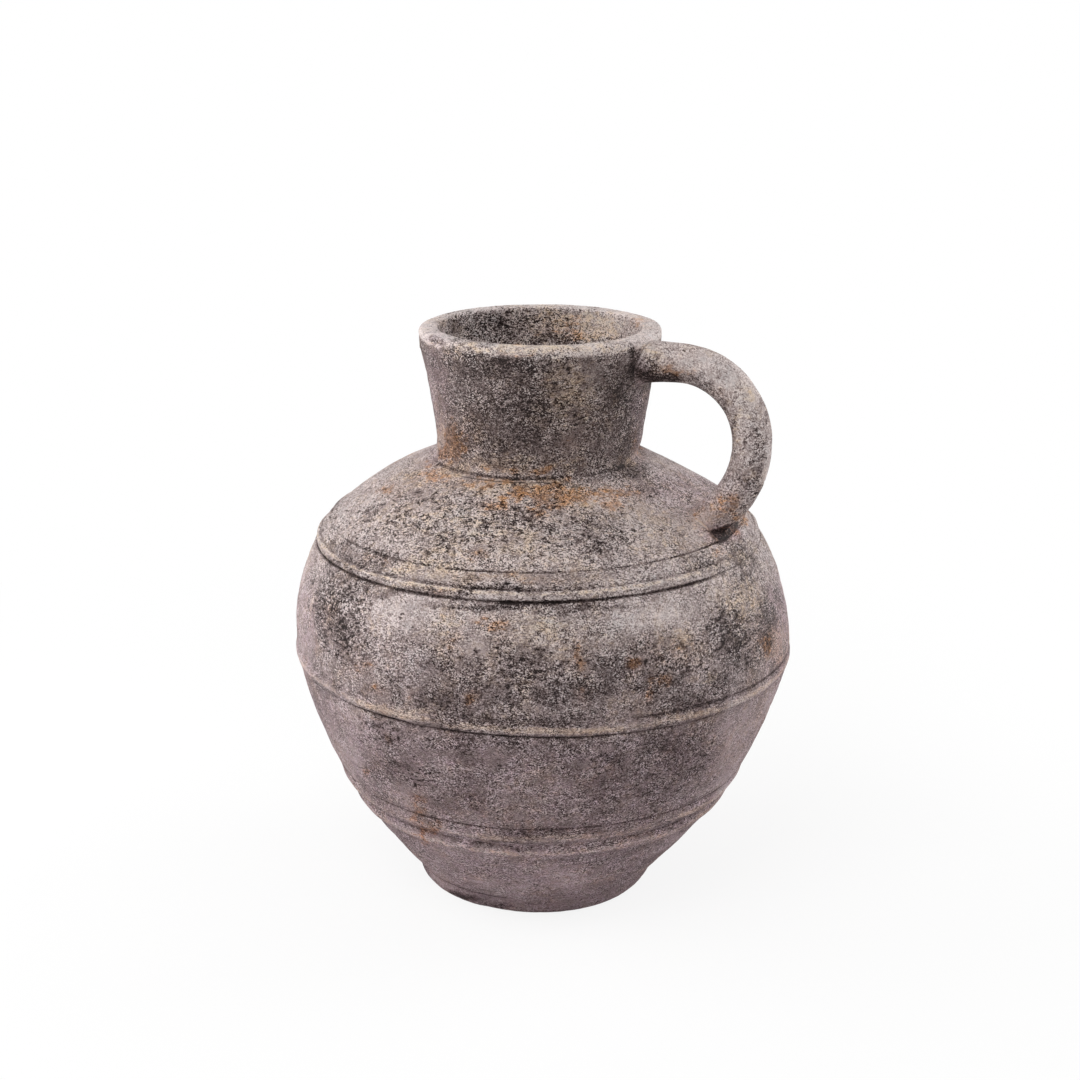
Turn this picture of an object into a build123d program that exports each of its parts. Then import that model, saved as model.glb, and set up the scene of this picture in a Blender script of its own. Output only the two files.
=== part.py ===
from build123d import *
import math
import os

# A one-handled water jar, in millimetres. The origin is the centre of the underside of the foot,
# +Z is up and the handle reaches out along +X. Every station of the outline is a pair of
# (radius, height), and the pieces are the clay parts that are luted together before firing.

# Wall of the body, and the joints between its thrown sections
wall = 10.0
bed_depth = 1.2
seam_bevel = 12.0

# Base slab
foot_radius = 69.1
foot_round = 1.2
foot_ring = 13.0
foot_hollow_depth = 1.5
base_thickness = 12.0
base_flare = 7.2

# Lower wall and the double-ridged cordon over its upper seam
lower_wall_height = 45.5
lower_wall_bulge = 0.7
lower_cordon_radius = 112.6
lower_cordon_flare = 14.4
lower_cordon_height = 25.1
lower_ridge = 1.8
upper_ridge = 1.7
valley_proud = 0.1
ridge_shares = (0.25, 0.48, 0.74)

# Middle wall, widest place and its single cordon
middle_wall_height = 66.6
middle_wall_bulge = 2.3
belly_radius = 150.5
belly_cordon_flare = 0.9
belly_cordon_height = 9.0
belly_bead = 1.3

# Upper wall and the banded cordon under the shoulder
upper_wall_height = 63.9
upper_wall_bulge = 4.9
upper_wall_taper = 16.4
shoulder_cordon_taper = 9.8
shoulder_cordon_height = 13.8
shoulder_bead = 2.0
bead_flank = 1.3
groove_proud = 0.2
band_proud = 0.8
band_shares = (0.17, 0.27, 0.38, 0.46, 0.95)

# Shoulder dome and the seat of the neck
shoulder_height = 34.9
shoulder_bulge = 2.2

# Neck, collar and lip
neck_radius = 61.0
neck_height = 67.2
neck_waist = 1.2
neck_top_radius = 71.4
neck_wall = 11.5
collar_leg = 5.0
rim_height = 12.0
rim_overhang = 0.8
rim_outer_round = 3.2
rim_inner_round = 2.2

# Handle: a round rod that leaves the neck level, bends down and comes back to the shoulder
rod_radius = 11.4
handle_drop = 14.2
bow_radius = 43.0
return_radius = 56.0
upper_lute_length = 21.6
upper_lute_width = 34.0
upper_lute_height = 30.0
upper_lute_sag = 2.5
lower_lute_length = 7.0
lower_lute_spread = 1.4

# Heights of the stations, each counted from the floor
lower_cordon_z = base_thickness + lower_wall_height
middle_wall_z = lower_cordon_z + lower_cordon_height
belly_z = middle_wall_z + middle_wall_height
upper_wall_z = belly_z + belly_cordon_height
shoulder_cordon_z = upper_wall_z + upper_wall_height
shoulder_z = shoulder_cordon_z + shoulder_cordon_height
neck_z = shoulder_z + shoulder_height
rim_z = neck_z + neck_height
jar_height = rim_z + rim_height

# Radii that follow from the ones above
base_top_radius = foot_radius + base_flare
shoulder_cordon_radius = belly_radius + belly_cordon_flare - upper_wall_taper
mouth_radius = neck_radius - neck_wall
lip_radius = neck_top_radius + rim_overhang
lip_in_radius = neck_top_radius - neck_wall
handle_reach = neck_top_radius + upper_lute_length + bow_radius


def step(start, direction, distance):
    """Point that lies a distance from another along a unit direction."""
    return (start[0] + direction[0] * distance, start[1] + direction[1] * distance)


def heading(start, end):
    """Unit direction and length from one point to another."""
    length = math.dist(start, end)
    return ((end[0] - start[0]) / length, (end[1] - start[1]) / length), length


class Cordon:
    """A strip of clay laid in a shallow bed over the seam of two thrown sections."""

    def __init__(self, low, high):
        self.low = low
        self.high = high
        self.run, self.length = heading(low, high)
        self.out = (self.run[1], -self.run[0])
        self.bed_low = step(low, self.out, -bed_depth)
        self.bed_high = step(high, self.out, -bed_depth)
        self.seam_out = step(self.bed_low, self.run, self.length / 2)
        bevel = math.radians(seam_bevel)
        slant = (self.run[0] * math.sin(bevel) - self.out[0] * math.cos(bevel),
                 self.run[1] * math.sin(bevel) - self.out[1] * math.cos(bevel))
        self.seam_in = step(self.seam_out, slant, (wall - bed_depth) / math.cos(bevel))

    def at(self, share, proud):
        """Point a share of the way up the strip, standing proud of the wall."""
        return step(step(self.low, self.run, self.length * share), self.out, proud)


def bow(start, end, bulge, outer=None):
    """Arc between two stations; a second pair gives the stations whose curve it follows."""
    chord = math.dist(start, end)
    like = chord if outer is None else math.dist(*outer)
    sagitta = bulge * (chord / like) ** 2
    run, length = heading(start, end)
    middle = step(step(start, run, length / 2), (run[1], -run[0]), sagitta)
    return ThreePointArc(start, middle, end)


def turned(edges, label):
    """Solid of revolution of a closed outline drawn as (radius, height)."""
    face = make_face(Wire(edges))
    solid = revolve(Plane.XZ * face, Axis.Z)
    solid.label = label
    return solid


lower_strip = Cordon(
    (lower_cordon_radius, lower_cordon_z),
    (lower_cordon_radius + lower_cordon_flare, middle_wall_z))
belly_strip = Cordon(
    (belly_radius, belly_z),
    (belly_radius + belly_cordon_flare, upper_wall_z))
shoulder_strip = Cordon(
    (shoulder_cordon_radius, shoulder_cordon_z),
    (shoulder_cordon_radius - shoulder_cordon_taper, shoulder_z))
seat_edge = (neck_radius + collar_leg, neck_z)
neck_foot = (neck_radius, neck_z)
collar_top = (neck_radius, neck_z + collar_leg)
neck_top = (neck_top_radius, rim_z)


def base_slab():
    """Flat disc with a rounded foot edge and a shallow hollow under it."""
    ring_radius = foot_radius - foot_ring
    profile = make_face(Polyline(
        (0, foot_hollow_depth),
        (ring_radius - foot_hollow_depth, foot_hollow_depth),
        (ring_radius, 0),
        (foot_radius, 0),
        (base_top_radius, base_thickness),
        (0, base_thickness),
        close=True))
    edge = profile.vertices().sort_by_distance((foot_radius, 0))[0]
    profile = fillet(edge, min(foot_round, base_thickness / 3, foot_ring / 3))
    slab = revolve(Plane.XZ * profile, Axis.Z)
    slab.label = "base_slab"
    return slab


def lower_wall():
    """Thrown bowl that stands flat on the slab and ends at the first seam."""
    outer_low = (base_top_radius, base_thickness)
    lean, _ = heading(outer_low, lower_strip.low)
    inner_low = (base_top_radius - wall / lean[1], base_thickness)
    outline = (outer_low, lower_strip.low)
    return turned([
        bow(outer_low, lower_strip.low, lower_wall_bulge),
        Line(lower_strip.low, lower_strip.bed_low),
        Line(lower_strip.bed_low, lower_strip.seam_out),
        Line(lower_strip.seam_out, lower_strip.seam_in),
        Edge.reversed(bow(inner_low, lower_strip.seam_in, lower_wall_bulge, outline)),
        Line(inner_low, outer_low)], "lower_wall")


def wall_between(below, above, bulge, label):
    """Thrown ring of wall from the seam under one cordon to the seam under the next."""
    outline = (below.high, above.low)
    return turned([
        Line(below.seam_in, below.seam_out),
        Line(below.seam_out, below.bed_high),
        Line(below.bed_high, below.high),
        bow(below.high, above.low, bulge),
        Line(above.low, above.bed_low),
        Line(above.bed_low, above.seam_out),
        Line(above.seam_out, above.seam_in),
        Edge.reversed(bow(below.seam_in, above.seam_in, bulge, outline))], label)


def shoulder():
    """Domed ring that closes in from the last seam to the flat seat of the neck."""
    seat_in = (mouth_radius, neck_z)
    under = (mouth_radius, neck_z - wall)
    outline = (shoulder_strip.high, seat_edge)
    return turned([
        Line(shoulder_strip.seam_in, shoulder_strip.seam_out),
        Line(shoulder_strip.seam_out, shoulder_strip.bed_high),
        Line(shoulder_strip.bed_high, shoulder_strip.high),
        bow(shoulder_strip.high, seat_edge, shoulder_bulge),
        Line(seat_edge, seat_in),
        Line(seat_in, under),
        Edge.reversed(bow(shoulder_strip.seam_in, under, shoulder_bulge, outline))], "shoulder")


def lower_cordon():
    """Strip with two soft ridges and a valley between them."""
    strip = lower_strip
    first, valley, second = ridge_shares
    return turned([
        Line(strip.bed_low, strip.low),
        ThreePointArc(strip.low, strip.at(first, lower_ridge), strip.at(valley, valley_proud)),
        ThreePointArc(strip.at(valley, valley_proud), strip.at(second, upper_ridge), strip.high),
        Line(strip.high, strip.bed_high),
        Line(strip.bed_high, strip.bed_low)], "lower_cordon")


def belly_cordon():
    """Single round bead at the widest place."""
    strip = belly_strip
    return turned([
        Line(strip.bed_low, strip.low),
        ThreePointArc(strip.low, strip.at(1 / 2, belly_bead), strip.high),
        Line(strip.high, strip.bed_high),
        Line(strip.bed_high, strip.bed_low)], "belly_cordon")


def shoulder_cordon():
    """Bead with a steep flank below, groove, then a flat raised band that ends in a small step."""
    strip = shoulder_strip
    flank, crest, groove, foot, top = band_shares
    return turned([
        Line(strip.bed_low, strip.low),
        Line(strip.low, strip.at(flank, bead_flank)),
        ThreePointArc(
            strip.at(flank, bead_flank), strip.at(crest, shoulder_bead), strip.at(groove, groove_proud)),
        Line(strip.at(groove, groove_proud), strip.at(foot, band_proud)),
        Line(strip.at(foot, band_proud), strip.at(top, band_proud)),
        Line(strip.at(top, band_proud), strip.high),
        Line(strip.high, strip.bed_high),
        Line(strip.bed_high, strip.bed_low)], "shoulder_cordon")


def neck():
    """Thrown neck that stands on the shoulder's seat and flares to the lip."""
    low_in = (mouth_radius, neck_z)
    high_in = (lip_in_radius, rim_z)
    return turned([
        Line(neck_foot, collar_top),
        bow(collar_top, neck_top, -neck_waist),
        Line(neck_top, high_in),
        Edge.reversed(bow(low_in, high_in, -neck_waist)),
        Line(low_in, neck_foot)], "neck")


def rim():
    """Thick lip, rounded over on both sides."""
    profile = make_face(Polyline(
        (neck_top_radius, rim_z), (lip_radius, jar_height), (lip_in_radius, jar_height),
        (lip_in_radius, rim_z), close=True))
    room = min(rim_height, lip_radius - lip_in_radius) / 2
    for corner, size in ((lip_radius, rim_outer_round), (lip_in_radius, rim_inner_round)):
        edge = profile.vertices().sort_by_distance((corner, jar_height))[0]
        profile = fillet(edge, min(size, room))
    lip = revolve(Plane.XZ * profile, Axis.Z)
    lip.label = "rim"
    return lip


def filled(edges):
    """Body of revolution without its hollow, used to fit a clay pad to the outside."""
    return revolve(Plane.XZ * make_face(Wire(edges)), Axis.Z)


def shoulder_core():
    """Outer form of the shoulder dome, filled to the axis."""
    return filled([
        bow(shoulder_strip.high, seat_edge, shoulder_bulge),
        Line(seat_edge, (0, neck_z)),
        Line((0, neck_z), (0, shoulder_z)),
        Line((0, shoulder_z), shoulder_strip.high)])


def neck_core():
    """Outer form of the neck above its collar, filled to the axis."""
    return filled([
        bow(collar_top, neck_top, -neck_waist),
        Line(neck_top, (0, rim_z)),
        Line((0, rim_z), (0, collar_top[1])),
        Line((0, collar_top[1]), collar_top)])


def neck_collar():
    """Coil pressed into the corner of neck and seat, hollow on its outer side."""
    middle = ((collar_top[0] + seat_edge[0]) / 2, (collar_top[1] + seat_edge[1]) / 2)
    toward, span = heading(middle, neck_foot)
    return turned([
        Line(neck_foot, seat_edge),
        ThreePointArc(seat_edge, step(middle, toward, span / 3), collar_top),
        Line(collar_top, neck_foot)], "neck_collar")


def circle_of(start, end, bulge):
    """Centre and radius of the arc that bow draws between two stations."""
    run, chord = heading(start, end)
    radius = (chord ** 2 / 4 + bulge ** 2) / (2 * bulge)
    middle = step(start, run, chord / 2)
    return step(middle, (run[1], -run[0]), bulge - radius), radius


def landing(centre, radius):
    """Outermost point where a circle in the handle's plane meets the shoulder's outline."""
    dome, dome_radius = circle_of(shoulder_strip.high, seat_edge, shoulder_bulge)
    run, apart = heading(dome, centre)
    along = (apart ** 2 + dome_radius ** 2 - radius ** 2) / (2 * apart)
    aside = math.sqrt(dome_radius ** 2 - along ** 2)
    foot = step(dome, run, along)
    return max(step(foot, (run[1], -run[0]), aside), step(foot, (-run[1], run[0]), aside))


# The rod starts where its upper bend starts, and ends one lute's length short of the shoulder
handle_z = jar_height - handle_drop
bend_z = handle_z - bow_radius
rod_start = handle_reach - bow_radius
return_centre = (handle_reach - return_radius, bend_z)
handle_foot = landing(return_centre, return_radius)
foot_turn = math.asin((bend_z - handle_foot[1]) / return_radius)
rod_turn = foot_turn - lower_lute_length / return_radius


def on_return(turn):
    """Point of the lower bend at a turn from the rod's outermost place."""
    return step(return_centre, (math.cos(turn), -math.sin(turn)), return_radius)


def handle():
    """Round rod of two tangent bends, tight above and wide below."""
    bow_centre = (rod_start, bend_z)
    diagonal = math.radians(45)
    path = Wire([
        ThreePointArc(
            (rod_start, handle_z),
            step(bow_centre, (math.cos(diagonal), math.sin(diagonal)), bow_radius),
            (handle_reach, bend_z)),
        ThreePointArc((handle_reach, bend_z), on_return(rod_turn / 2), on_return(rod_turn))])
    section = Plane((rod_start, 0, handle_z), x_dir=(0, 1, 0), z_dir=(1, 0, 0)) * Circle(rod_radius)
    rod = sweep(section, Plane.XZ * path)
    rod.label = "handle"
    return rod


def oval(x, z, width, height, run):
    """Oval section across a run in the handle's plane."""
    place = Plane((x, 0, z), x_dir=(0, 1, 0), z_dir=(run[0], 0, run[1]))
    return place * Ellipse(width / 2, height / 2)


def handle_upper_lute():
    """Pad that swells from the rod to the neck, a little lower on the neck than the rod."""
    rod = 2 * rod_radius
    level = (1, 0)
    middle_width = (rod * 2 + upper_lute_width) / 3
    middle_height = (rod * 2 + upper_lute_height) / 3
    middle_x = neck_top_radius + upper_lute_length / 3
    pad = loft([
        oval(mouth_radius, handle_z - upper_lute_sag, upper_lute_width, upper_lute_height, level),
        oval(middle_x, handle_z - upper_lute_sag / 3, middle_width, middle_height, level),
        oval(rod_start, handle_z, rod, rod, level)])
    pad = pad - neck_core() - rim()
    pad = pad.solids().sort_by(Axis.X)[-1]
    pad.label = "handle_upper_lute"
    return pad


def handle_lower_lute():
    """Collar that spreads a little where the rod's lower end is pressed on the shoulder."""
    rod = 2 * rod_radius
    spread = rod + 2 * lower_lute_spread
    run = (-math.sin(rod_turn), -math.cos(rod_turn))
    rod_end = on_return(rod_turn)
    foot = step(rod_end, run, lower_lute_length)
    deep = step(foot, run, wall)
    pad = loft([oval(*rod_end, rod, rod, run), oval(*foot, spread, spread, run)], ruled=True)
    pad = pad + loft([oval(*foot, spread, spread, run), oval(*deep, spread, spread, run)], ruled=True)
    pad = pad - shoulder_core() - shoulder_cordon()
    pad = pad.solids().sort_by(Axis.Z)[-1]
    pad.label = "handle_lower_lute"
    return pad


def main():
    """Build every clay piece and write each one to its own file."""
    os.makedirs("parts", exist_ok=True)
    pieces = [
        base_slab(),
        lower_wall(),
        lower_cordon(),
        wall_between(lower_strip, belly_strip, middle_wall_bulge, "middle_wall"),
        belly_cordon(),
        wall_between(belly_strip, shoulder_strip, upper_wall_bulge, "upper_wall"),
        shoulder_cordon(),
        shoulder(),
        neck_collar(),
        neck(),
        rim(),
        handle(),
        handle_upper_lute(),
        handle_lower_lute(),
    ]
    for piece in pieces:
        export_step(piece, f"parts/{piece.label}.step")


main()
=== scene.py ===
import math

import bmesh
import bpy
import numpy as np
from mathutils import Matrix, Vector


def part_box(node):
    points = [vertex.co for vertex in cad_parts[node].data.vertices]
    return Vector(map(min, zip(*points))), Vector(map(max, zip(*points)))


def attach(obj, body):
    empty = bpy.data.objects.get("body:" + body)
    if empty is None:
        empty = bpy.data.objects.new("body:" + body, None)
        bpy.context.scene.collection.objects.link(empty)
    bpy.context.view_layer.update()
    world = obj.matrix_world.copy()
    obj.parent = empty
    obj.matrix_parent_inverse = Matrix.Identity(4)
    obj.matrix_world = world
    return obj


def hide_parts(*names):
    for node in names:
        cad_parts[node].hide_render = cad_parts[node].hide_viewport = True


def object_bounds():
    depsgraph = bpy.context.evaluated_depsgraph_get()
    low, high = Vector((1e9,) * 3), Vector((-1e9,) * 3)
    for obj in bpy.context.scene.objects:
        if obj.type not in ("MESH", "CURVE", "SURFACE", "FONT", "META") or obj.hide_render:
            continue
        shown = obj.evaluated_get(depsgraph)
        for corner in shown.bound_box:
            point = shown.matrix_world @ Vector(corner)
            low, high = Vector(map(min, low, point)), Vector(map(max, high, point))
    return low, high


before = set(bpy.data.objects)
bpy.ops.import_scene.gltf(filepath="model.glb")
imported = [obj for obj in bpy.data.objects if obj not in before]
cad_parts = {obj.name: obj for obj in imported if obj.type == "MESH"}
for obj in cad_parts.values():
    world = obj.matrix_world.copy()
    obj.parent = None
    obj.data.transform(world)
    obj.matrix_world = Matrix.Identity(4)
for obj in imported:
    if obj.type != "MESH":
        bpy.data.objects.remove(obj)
cad_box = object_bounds()

# Lengths here are in millimetres, and a mesh is written in metres. The jar is hand-made: each
# clay piece is turned again from its outline in the frame, with the potter's unevenness, the
# throwing marks, the pressed seams and the worn finish, with painted shade and highlights, added to it.
MM = 0.001
WELD = 1e-6

# The photograph's camera, fitted to the jar. The handle's plane is turned from the picture's
# right towards the viewer.
IMAGE_SIDE = 1080
FOCAL_PIXELS = 1965.6
SENSOR_WIDTH = 36.0
CLIP_START = 0.05
CAMERA_DISTANCE = 1151.16
CAMERA_HEIGHT = 567.95
CAMERA_ASIDE = -1.9
CAMERA_PITCH = math.radians(16.97)
CAMERA_ROLL = math.radians(0.18)
HANDLE_TURN = math.radians(27.0)
RIGHT = np.array((math.cos(HANDLE_TURN), math.sin(HANDLE_TURN), 0.0))
AWAY = np.array((-math.sin(HANDLE_TURN), math.cos(HANDLE_TURN), 0.0))
CAMERA_PLACE = RIGHT * CAMERA_ASIDE - AWAY * CAMERA_DISTANCE + np.array((0.0, 0.0, CAMERA_HEIGHT))

# Turned pieces, from the floor up, with the record's slot of each
TURNED = {
    "base_slab": "foot",
    "lower_wall": "body",
    "lower_cordon": "cordons",
    "middle_wall": "body",
    "belly_cordon": "cordons",
    "upper_wall": "body",
    "shoulder_cordon": "cordons",
    "shoulder": "body",
    "neck_collar": "neck",
    "neck": "neck",
    "rim": "rim",
}
STRIPS = ("lower_cordon", "belly_cordon", "shoulder_cordon")
SEGMENTS = 840
OUTSIDE_STEP = 1.25
STRIP_STEP = 0.45
EDGE_STEP = 0.5
EDGE_REACH = 4.0
INSIDE_STEP = 4.0
MOUTH_STEP = 2.0
CORNER_TURN = math.radians(24)
SHARP_ANGLE = math.radians(55)
TOUCHING = 0.05

# How the axis wanders with height, along the picture's right, and how the rings tilt: height,
# then the rise at the right, and the rise at both ends
LEAN = {0: -4.3, 20: -2.7, 40: -1.4, 70: -0.2, 130: 0.1, 158: 0.2, 200: -1.5, 235: -3.4, 262: -6.2,
        285: -2.3, 320: -2.2, 350: -2.4}
TILT = {0: (0.0, 0.0), 30: (0.6, 0.0), 70: (1.4, 0.0), 120: (0.2, -0.6), 154: (-1.0, -1.0),
        190: (0.2, -0.4), 229: (1.6, 0.0), 262: (0.8, 0.0), 300: (0.3, 0.0), 350: (0.0, 0.0)}
# How far the soft foot spread on the potter's board, by height
FOOT_SPREAD = {0: 2.0, 3: 1.6, 12: 0.0, 350: 0.0}
FOOT_RADIUS = 60


def smoothstep(value, low, high):
    """0 below low, 1 above high, and a soft rise between them."""
    share = np.clip((value - low) / (high - low), 0, 1)
    return share * share * (3 - 2 * share)


def eased(height, stations):
    """Value at each height, eased between the stations of a dictionary."""
    heights = np.array(sorted(stations), float)
    values = np.array([stations[key] for key in sorted(stations)], float)
    place = np.clip(np.searchsorted(heights, height, side="right") - 1, 0, len(heights) - 2)
    share = smoothstep(height, heights[place], heights[place + 1])
    if values.ndim == 2:
        share = share[:, None]
    return values[place] * (1 - share) + values[place + 1] * share


LAYER_APART = 31.7


class Noise:
    """Smooth seeded noise in space, from -1 to 1."""

    CELLS = 48

    def __init__(self, seed):
        self.values = np.random.default_rng(seed).uniform(-1, 1, (self.CELLS,) * 3)

    def layer(self, points, cell):
        """One size of noise."""
        place = points / cell
        low = np.floor(place).astype(int)
        share = place - low
        share = share * share * (3 - 2 * share)
        total = np.zeros(len(points))
        for corner in np.ndindex(2, 2, 2):
            weight = np.prod(np.where(corner, share, 1 - share), axis=1)
            spot = (low + corner) % self.CELLS
            total += weight * self.values[spot[:, 0], spot[:, 1], spot[:, 2]]
        return total

    def layered(self, points, cell, layers):
        """Several sizes of noise at once, each half as large and half as strong."""
        cell = np.array(cell, float) * np.ones(3)
        total = np.zeros(len(points))
        for layer in range(layers):
            total += self.layer(points + layer * LAYER_APART, cell / 2 ** layer) / 2 ** layer
        return total / (2 - 2 ** (1 - layers))


lumps, rings, grain, worms, stains, veins = (Noise(seed) for seed in range(6))
# Unevenness of the clay and its finish: the noise, its strength, what keeps this use apart from the
# noise's other uses, its size and its layers
UNEVEN = {
    "lump": (lumps, 0.45, 0, 38, 1),
    "dent": (lumps, 0.2, 500, 13, 1),
    "thrown_ring": (rings, 0.2, 0, (70, 70, 4.6), 1),
    "scraped_ring": (rings, 0.1, 300, (26, 26, 1.3), 1),
    "crumb": (grain, 0.11, 0, 3.4, 2),
    "strip_lump": (lumps, 0.22, 900, (9, 9, 5), 1),
    "rod_lump": (lumps, 0.35, 0, 21, 1),
    "rod_dent": (lumps, 0.14, 500, 8, 1),
    "rod_crumb": (grain, 0.08, 0, 3.4, 2),
    "line_wander": (veins, 0.7, 400, (40, 40, 12), 3),
    "line_break": (grain, 0.6, 0, (6, 6, 2), 3),
    "crease_break": (grain, 0.9, 0, 5, 2),
    "pit": (worms, 1, 0, (2.9, 2.9, 1.7), 1),
    "small_pit": (worms, 0.45, 77, (1.5, 1.5, 1.1), 1),
    "flap_edge": (stains, 0.8, 0, 3, 1),
    "shadow_edge": (stains, 1.2, 0, 4, 1),
    "patch_across": (stains, 7, 0, 11, 1),
    "rags_across": (stains, 3, 50, 4, 1),
    "patch_down": (stains, 5, 90, 11, 1),
    "rags_down": (stains, 2, 140, 4, 1),
    "cloud": (veins, 1, 0, 42, 4),
    "blot": (stains, 1, 800, 26, 3),
    "drip": (stains, 1, 1300, (10, 10, 24), 3),
    "mottle": (grain, 0.5, 210, 5, 3),
    "tone_edge": (stains, 0.7, 0, 9, 1),
    "tone_rags": (stains, 0.4, 30, 3, 1),
    "tone_vein": (veins, 0.11, 60, 17, 4),
    "rod_vein": (veins, 0.05, 60, 17, 4),
    "tone_ring": (rings, 0.08, 600, (30, 30, 1.8), 2),
}


# Ends of the eased shares: heights where throwing rings begin and scraped ones end, how proud a worn
# crest is, which is worn cream and lighter with a painted highlight, how far a surface faces the camera or
# looks inwards, and rows of the picture that show the mouth
THROWN_BEGIN = (10, 40)
SCRAPED_END = (120, 170)
TONE_RINGS_END = (100, 150)
CREST = (0.65, 1.0)
FRONT = (-0.05, 0.25)
SEEN = (-0.06, 0.1)
INWARD = (0.45, 0.85)
MOUTH_ROWS = (343, 351)


def uneven(name, points):
    """One named unevenness at each point."""
    noise, strength, apart, size, layers = UNEVEN[name]
    return strength * noise.layered(points + apart, size, layers)


def in_picture(points):
    """Pixel of each point in the photograph's 1080 x 1080 frame."""
    seen = points - CAMERA_PLACE
    across = seen @ RIGHT
    along = seen @ AWAY
    depth = along * math.cos(CAMERA_PITCH) - seen[:, 2] * math.sin(CAMERA_PITCH)
    up = along * math.sin(CAMERA_PITCH) + seen[:, 2] * math.cos(CAMERA_PITCH)
    across = across / depth * FOCAL_PIXELS
    up = up / depth * FOCAL_PIXELS
    half = IMAGE_SIDE / 2
    return half + across + up * CAMERA_ROLL, half - up + across * CAMERA_ROLL


def facing(points, normals):
    """Cosine between each surface and the line to the photograph's camera."""
    line = CAMERA_PLACE - points
    line /= np.linalg.norm(line, axis=1, keepdims=True)
    return np.sum(line * normals, axis=1)


def from_axis(points):
    """Distance of each point from the jar's axis, at least 1."""
    return np.maximum(np.hypot(points[:, 0], points[:, 1]), 1.0)


def rise(points):
    """How far the tilted rings lift each point."""
    share = points @ RIGHT / from_axis(points)
    tilt = eased(points[:, 2], TILT)
    return tilt[:, 0] * share + tilt[:, 1] * share ** 2


def warped(points):
    """The potter's lean and tilt, which the whole jar shares, kept in the box of its solids."""
    radius = from_axis(points)
    spread = eased(points[:, 2], FOOT_SPREAD) * np.minimum(radius / FOOT_RADIUS, 1)
    moved = points.copy()
    moved[:, :2] *= (1 + spread / radius)[:, None]
    moved += eased(points[:, 2], LEAN)[:, None] * RIGHT
    moved[:, 2] += rise(points)
    low, high = np.array(cad_box) / MM
    return np.clip(moved, low, high)


# Outlines, read from the frame

def outline(node):
    """Outline of a turned node as rows of (radius, height), with the clay on its left."""
    mesh = bmesh.new()
    mesh.from_mesh(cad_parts[node].data)
    bmesh.ops.remove_doubles(mesh, verts=mesh.verts, dist=WELD)
    for normal in ((0, 1, 0), (1, 0, 0)):
        everything = mesh.verts[:] + mesh.edges[:] + mesh.faces[:]
        bmesh.ops.bisect_plane(mesh, geom=everything, dist=WELD, plane_co=(0, 0, 0), plane_no=normal)
    links = {}
    for edge in mesh.edges:
        if all(abs(vert.co.y) < WELD and vert.co.x > -WELD for vert in edge.verts):
            for vert in edge.verts:
                links.setdefault(vert, []).append(edge.other_vert(vert))
    loose = [vert for vert, near in links.items() if len(near) == 1]
    chain = [loose[0] if loose else next(iter(links))]
    while len(chain) < len(links):
        chain.append(next(vert for vert in links[chain[-1]] if vert not in chain[-2:]))
    rows = np.array([(vert.co.x, vert.co.z) for vert in chain]) / MM
    mesh.free()
    radius, height = rows.T
    area = np.sum(radius * np.roll(height, -1) - np.roll(radius, -1) * height)
    return rows if area > 0 else rows[::-1]


def split_at_corners(rows):
    """Stretches of an outline between its sharp corners, in order round the piece."""
    closed = rows[0, 0] > WELD
    if closed:
        before = rows - np.roll(rows, 1, axis=0)
        after = np.roll(rows, -1, axis=0) - rows
    else:
        before = np.vstack((rows[1] - rows[0], np.diff(rows, axis=0)))
        after = np.vstack((np.diff(rows, axis=0), rows[-1] - rows[-2]))
    cross = before[:, 0] * after[:, 1] - before[:, 1] * after[:, 0]
    turn = np.abs(np.arctan2(cross, np.sum(before * after, axis=1)))
    corners = list(np.flatnonzero(turn > CORNER_TURN))
    if not closed:
        stops = [0] + corners + [len(rows) - 1]
        return [rows[a:b + 1] for a, b in zip(stops, stops[1:])]
    rows = np.roll(rows, -corners[0], axis=0)
    stops = [corner - corners[0] for corner in corners] + [len(rows)]
    looped = np.vstack((rows, rows[:1]))
    return [looped[a:b + 1] for a, b in zip(stops, stops[1:])]


def distance_to(point, rows):
    """Least distance from a point to a line of rows."""
    start, end = rows[:-1], rows[1:]
    run = end - start
    share = np.sum((point - start) * run, axis=1) / np.maximum(np.sum(run * run, axis=1), WELD)
    nearest = start + run * np.clip(share, 0, 1)[:, None]
    return np.min(np.linalg.norm(nearest - point, axis=1))


def spaced(rows, step, passes, edge=0.0):
    """Rows at an even step, or a finer one near the ends, their joints eased and both ends kept."""
    length = np.concatenate(([0], np.cumsum(np.linalg.norm(np.diff(rows, axis=0), axis=1))))
    total = length[-1]
    if edge and total > 3 * EDGE_REACH:
        near = np.arange(0, EDGE_REACH, edge)
        between = np.linspace(EDGE_REACH, total - EDGE_REACH, int(total / step))
        place = np.concatenate((near, between, total - near[::-1]))
    else:
        place = np.linspace(0, total, max(2, int(math.ceil(total / step)) + 1))
    even = np.column_stack([np.interp(place, length, rows[:, axis]) for axis in (0, 1)])
    for _ in range(passes):
        even[1:-1] = even[:-2] / 4 + even[1:-1] / 2 + even[2:] / 4
    return even


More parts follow.
